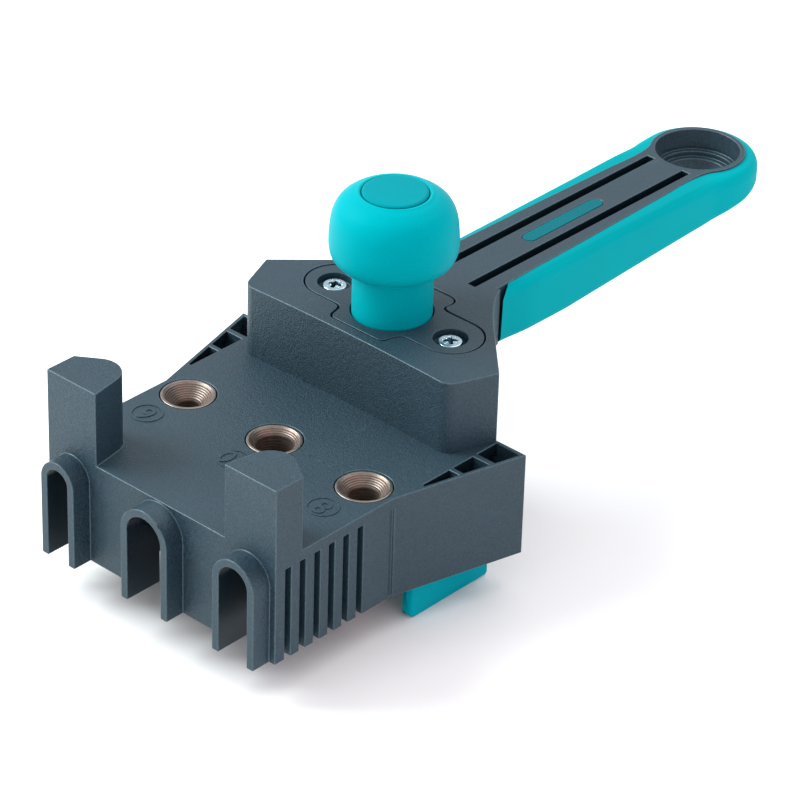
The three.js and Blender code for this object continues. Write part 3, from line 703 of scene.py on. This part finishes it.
def disc_profile():
    low_face, top_edge = KNOB_TOP - 1.9, KNOB_TOP - 0.35
    return rounded([(0, low_face), (DISC_RADIUS, low_face), (DISC_RADIUS, top_edge),
                    (DISC_RADIUS - 0.7, KNOB_TOP - 0.06), (5, KNOB_TOP - 0.02), (0, KNOB_TOP)],
                   [0, 0.2, 0.5, 0.6, 0, 0])


knob_body = nodes["knob"]["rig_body"]
knob_place = at(0, KNOB_Y, 0)
show("knob_cap", turned_mesh("knob", knob_profile(), 128), knob_body, "teal_plastic", ["knob"], knob_place)
disc_mesh = turned_mesh("knob_disc", disc_profile())
disc = show("knob_cap_disc", disc_mesh, knob_body, "teal_plastic", ["knob_disc"], knob_place)
# The disc takes the darker teal that paints shade on its up-facing top.
disc.data.materials[0] = looks["disc"]


# ---------------------------------------------------------------- drill bushes and their size marks

MARK_Y = -14.5


def bush_profile(bore):
    """Ground rim, 45 degree mouth and bore, both with the fine steps that the tool left."""
    low_face, mouth = -30.2, 6.75
    foot = mouth - bore
    rim = 7.5
    line = rounded([(bore, -20), (bore, low_face), (rim, low_face), (rim, 0), (mouth, 0), (mouth - 0.1, -0.1)],
                   [0, 0.3, 0.4, 0.35, 0.1, 0])
    steps = round(foot / 0.5)
    for k in range(1, steps):
        t = 0.1 + (foot - 0.1) * k / steps
        line += [(mouth - t + 0.06, -t + 0.05), (mouth - t - 0.02, -t + 0.02), (mouth - t, -t - 0.04)]
    line += [(bore + 0.1, -foot + 0.1), (bore, -foot - 0.3)]
    for k in range(1, 12):
        z = -foot - 0.3 - k * 0.9
        line += [(bore, z + 0.12), (bore + 0.05, z), (bore, z - 0.12)]
    line.append((bore, -20))
    return line


def size_digits(text):
    """Raised numerals, to be read from the handle's side."""
    curve = bpy.data.curves.new("numeral", "FONT")
    curve.body = text
    curve.size = 0.0085
    curve.align_x = "CENTER"
    curve.align_y = "CENTER"
    curve.extrude = 0.00008
    curve.bevel_depth = 0.00008
    curve.resolution_u = 6
    holder = bpy.data.objects.new("numeral", curve)
    bpy.context.scene.collection.objects.link(holder)
    mesh = bpy.data.meshes.new_from_object(holder.evaluated_get(bpy.context.evaluated_depsgraph_get()))
    bpy.data.objects.remove(holder)
    mesh.transform(Matrix.Rotation(math.pi, 4, "Z"))
    return mesh


for size, (x, bore, _) in BUSHES.items():
    node = "drill_bush_" + size
    body = nodes[node]["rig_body"]
    turned_bush = turned_mesh(node, bush_profile(bore), closed=True)
    for polygon in turned_bush.polygons:
        polygon.material_index = int(polygon.center.z > -0.1 * MM)
    show(node + "_turned", turned_bush, body, "bush_steel", [node], at(x, 0, 0))
    ring = rounded([(3.95, -0.1), (3.95, 0.22), (4.4, 0.22), (4.4, -0.1)], [0, 0.1, 0.1, 0], 3)
    ring_mesh = turned_mesh("size_ring", ring, 72)
    mark_x = x - 0.7
    show("size_ring_" + size, ring_mesh, "jig", "body_plastic", (), at(mark_x, MARK_Y, 0))
    show("size_mark_" + size, size_digits(size), "jig", "body_plastic", (), at(mark_x, MARK_Y, 0.08),
         weighted=False)


def raised_line(name, x0, x1, y, half, height):
    """A low rounded line on the plate."""
    section = [(-half, -0.1), (-half * 0.6, height * 0.8), (0, height),
               (half * 0.6, height * 0.8), (half, -0.1)]
    points = [(x * MM, (y + u) * MM, v * MM) for x in (x0, x1) for u, v in section]
    count = len(section)
    faces = [(k, k + 1, count + k + 1, count + k) for k in range(count - 1)]
    faces += [tuple(reversed(range(count))), tuple(range(count, 2 * count))]
    bm = bmesh.new()
    made = [bm.verts.new(point) for point in points]
    for face in faces:
        bm.faces.new([made[i] for i in face])
    show(name, finished(bm, name, 40), "jig", "body_plastic", (), at(0, 0, 0))


raised_line("plate_line_left", -24, -8.2, 0.9, 0.28, 0.14)
raised_line("plate_line_right", 8.2, 24, 0.9, 0.28, 0.14)


# ---------------------------------------------------------------- cover screws

SCREW_HEAD = 3.3
SCREW_TOP = 20.4
SCREW_X = 20.9
SCREW_TURN = {"left": 20, "right": 48}  # degrees that each cross stands turned
RECESS_DEPTH = 1.7


def recess_depth(x, y):
    """How deep the cross recess is at a point of the head, in mm."""
    radius = math.hypot(x, y)
    deep = 0.0
    for turn in range(4):
        u = x * math.cos(turn * math.pi / 2) + y * math.sin(turn * math.pi / 2)
        v = -x * math.sin(turn * math.pi / 2) + y * math.cos(turn * math.pi / 2)
        if u > 0:
            wall = ease(0.52 - abs(v), -0.06, 0.08)
            deep = max(deep, wall * RECESS_DEPTH * (1 - ease(u, 0.9, 2.15)))
        along, off = (u + v) / math.sqrt(2), (v - u) / math.sqrt(2)
        if 1.15 < along < 2.3 and abs(off) < 0.16:
            deep = max(deep, 0.16 * ease(0.16 - abs(off), 0, 0.08))
    return max(deep, RECESS_DEPTH * ease(0.85 - radius, -0.05, 0.1))


def screw_mesh(name):
    """A cross-recess pan head on a threaded shank. The origin is on the axis at the head's top."""
    rings, spokes = 30, 128
    spread = [(math.cos(TAU * k / spokes), math.sin(TAU * k / spokes)) for k in range(spokes)]
    bm = bmesh.new()
    centre = bm.verts.new((0, 0, -recess_depth(0, 0) * MM))
    previous = None
    for ring in range(1, rings + 1):
        radius = SCREW_HEAD * ring / rings * 0.93
        row = []
        for c, s in spread:
            x, y = radius * c, radius * s
            z = -0.22 * (radius / SCREW_HEAD) ** 2 - recess_depth(x, y)
            row.append(bm.verts.new((x * MM, y * MM, z * MM)))
        for k in range(spokes):
            n = (k + 1) % spokes
            if previous is None:
                bm.faces.new((centre, row[k], row[n]))
            else:
                bm.faces.new((previous[k], row[k], row[n], previous[n]))
        previous = row
    shank = [(SCREW_HEAD * 0.985, -0.34), (SCREW_HEAD, -0.6), (SCREW_HEAD, -1.35),
             (SCREW_HEAD - 0.15, -1.5), (1.6, -1.5)]
    z = -2.4
    while z > -9.5:
        shank += [(1.15, z), (1.6, z - 0.35), (1.15, z - 0.7)]
        z -= 0.95
    shank += [(1.1, -10.2), (0.1, -12)]
    for radius, height in shank:
        row = [bm.verts.new((radius * MM * c, radius * MM * s, height * MM)) for c, s in spread]
        for k in range(spokes):
            n = (k + 1) % spokes
            bm.faces.new((previous[k], row[k], row[n], previous[n]))
        previous = row
    bm.faces.new(previous)
    # Painted shade: the deep faces of the cross recess take the dark recess material.
    for face in bm.faces:
        middle = face.calc_center_median()
        recessed = middle.xy.length < 2.4 * MM and middle.z > -2.1 * MM
        face.material_index = int(recessed and middle.z < -0.32 * MM)
    return finished(bm, name, 40)


for side, x in (("left", -SCREW_X), ("right", SCREW_X)):
    node = "cover_screw_" + side
    place = at(x, KNOB_Y, SCREW_TOP)
    screw = show(node + "_cross", screw_mesh(node), nodes[node]["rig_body"], "screw_zinc", [node], place)
    screw.rotation_euler.z = math.radians(SCREW_TURN[side])


# ---------------------------------------------------------------- stage

def area_light(name, place, target, size, power, color=(1, 1, 1)):
    data = bpy.data.lights.new(name, "AREA")
    data.energy = power
    data.color = color
    data.size = size
    light = bpy.data.objects.new(name, data)
    light.location = place
    light.rotation_euler = (Vector(target) - Vector(place)).to_track_quat("-Z", "Y").to_euler()
    bpy.context.scene.collection.objects.link(light)


def stage():
    half = 3.0
    corners = [(-half, -half, 0), (half, -half, 0), (half, half, 0), (-half, half, 0)]
    mesh = bpy.data.meshes.new("floor")
    mesh.from_pydata(corners, [], [(0, 1, 2, 3)])
    mesh.update()
    floor = bpy.data.objects.new("floor", mesh)
    bpy.context.scene.collection.objects.link(floor)
    look = Look("pale_floor", (0.95, 0.95, 0.95), 0.9)
    look.bsdf.inputs["Specular IOR Level"].default_value = 0.0
    mesh.materials.append(look.material)
    world = bpy.data.worlds.new("studio")
    world.use_nodes = True
    world.node_tree.nodes["Background"].inputs["Color"].default_value = (0.985, 0.97, 1.0, 1)
    world.node_tree.nodes["Background"].inputs["Strength"].default_value = 0.85
    bpy.context.scene.world = world
    middle = (0, -0.03, 0.04)
    area_light("key", (-0.9, -0.55, 0.9), middle, 0.8, 22, (0.93, 1.0, 1.0))
    area_light("top", (0.15, 0.45, 1.1), middle, 1.0, 5)
    area_light("front", (-0.35, -0.9, 0.12), middle, 0.5, 0.8)
    area_light("side", (0.95, -0.2, 0.3), middle, 0.6, 0.8, (1.0, 0.35, 0.7))
    bpy.context.scene.view_settings.view_transform = "Standard"


stage()
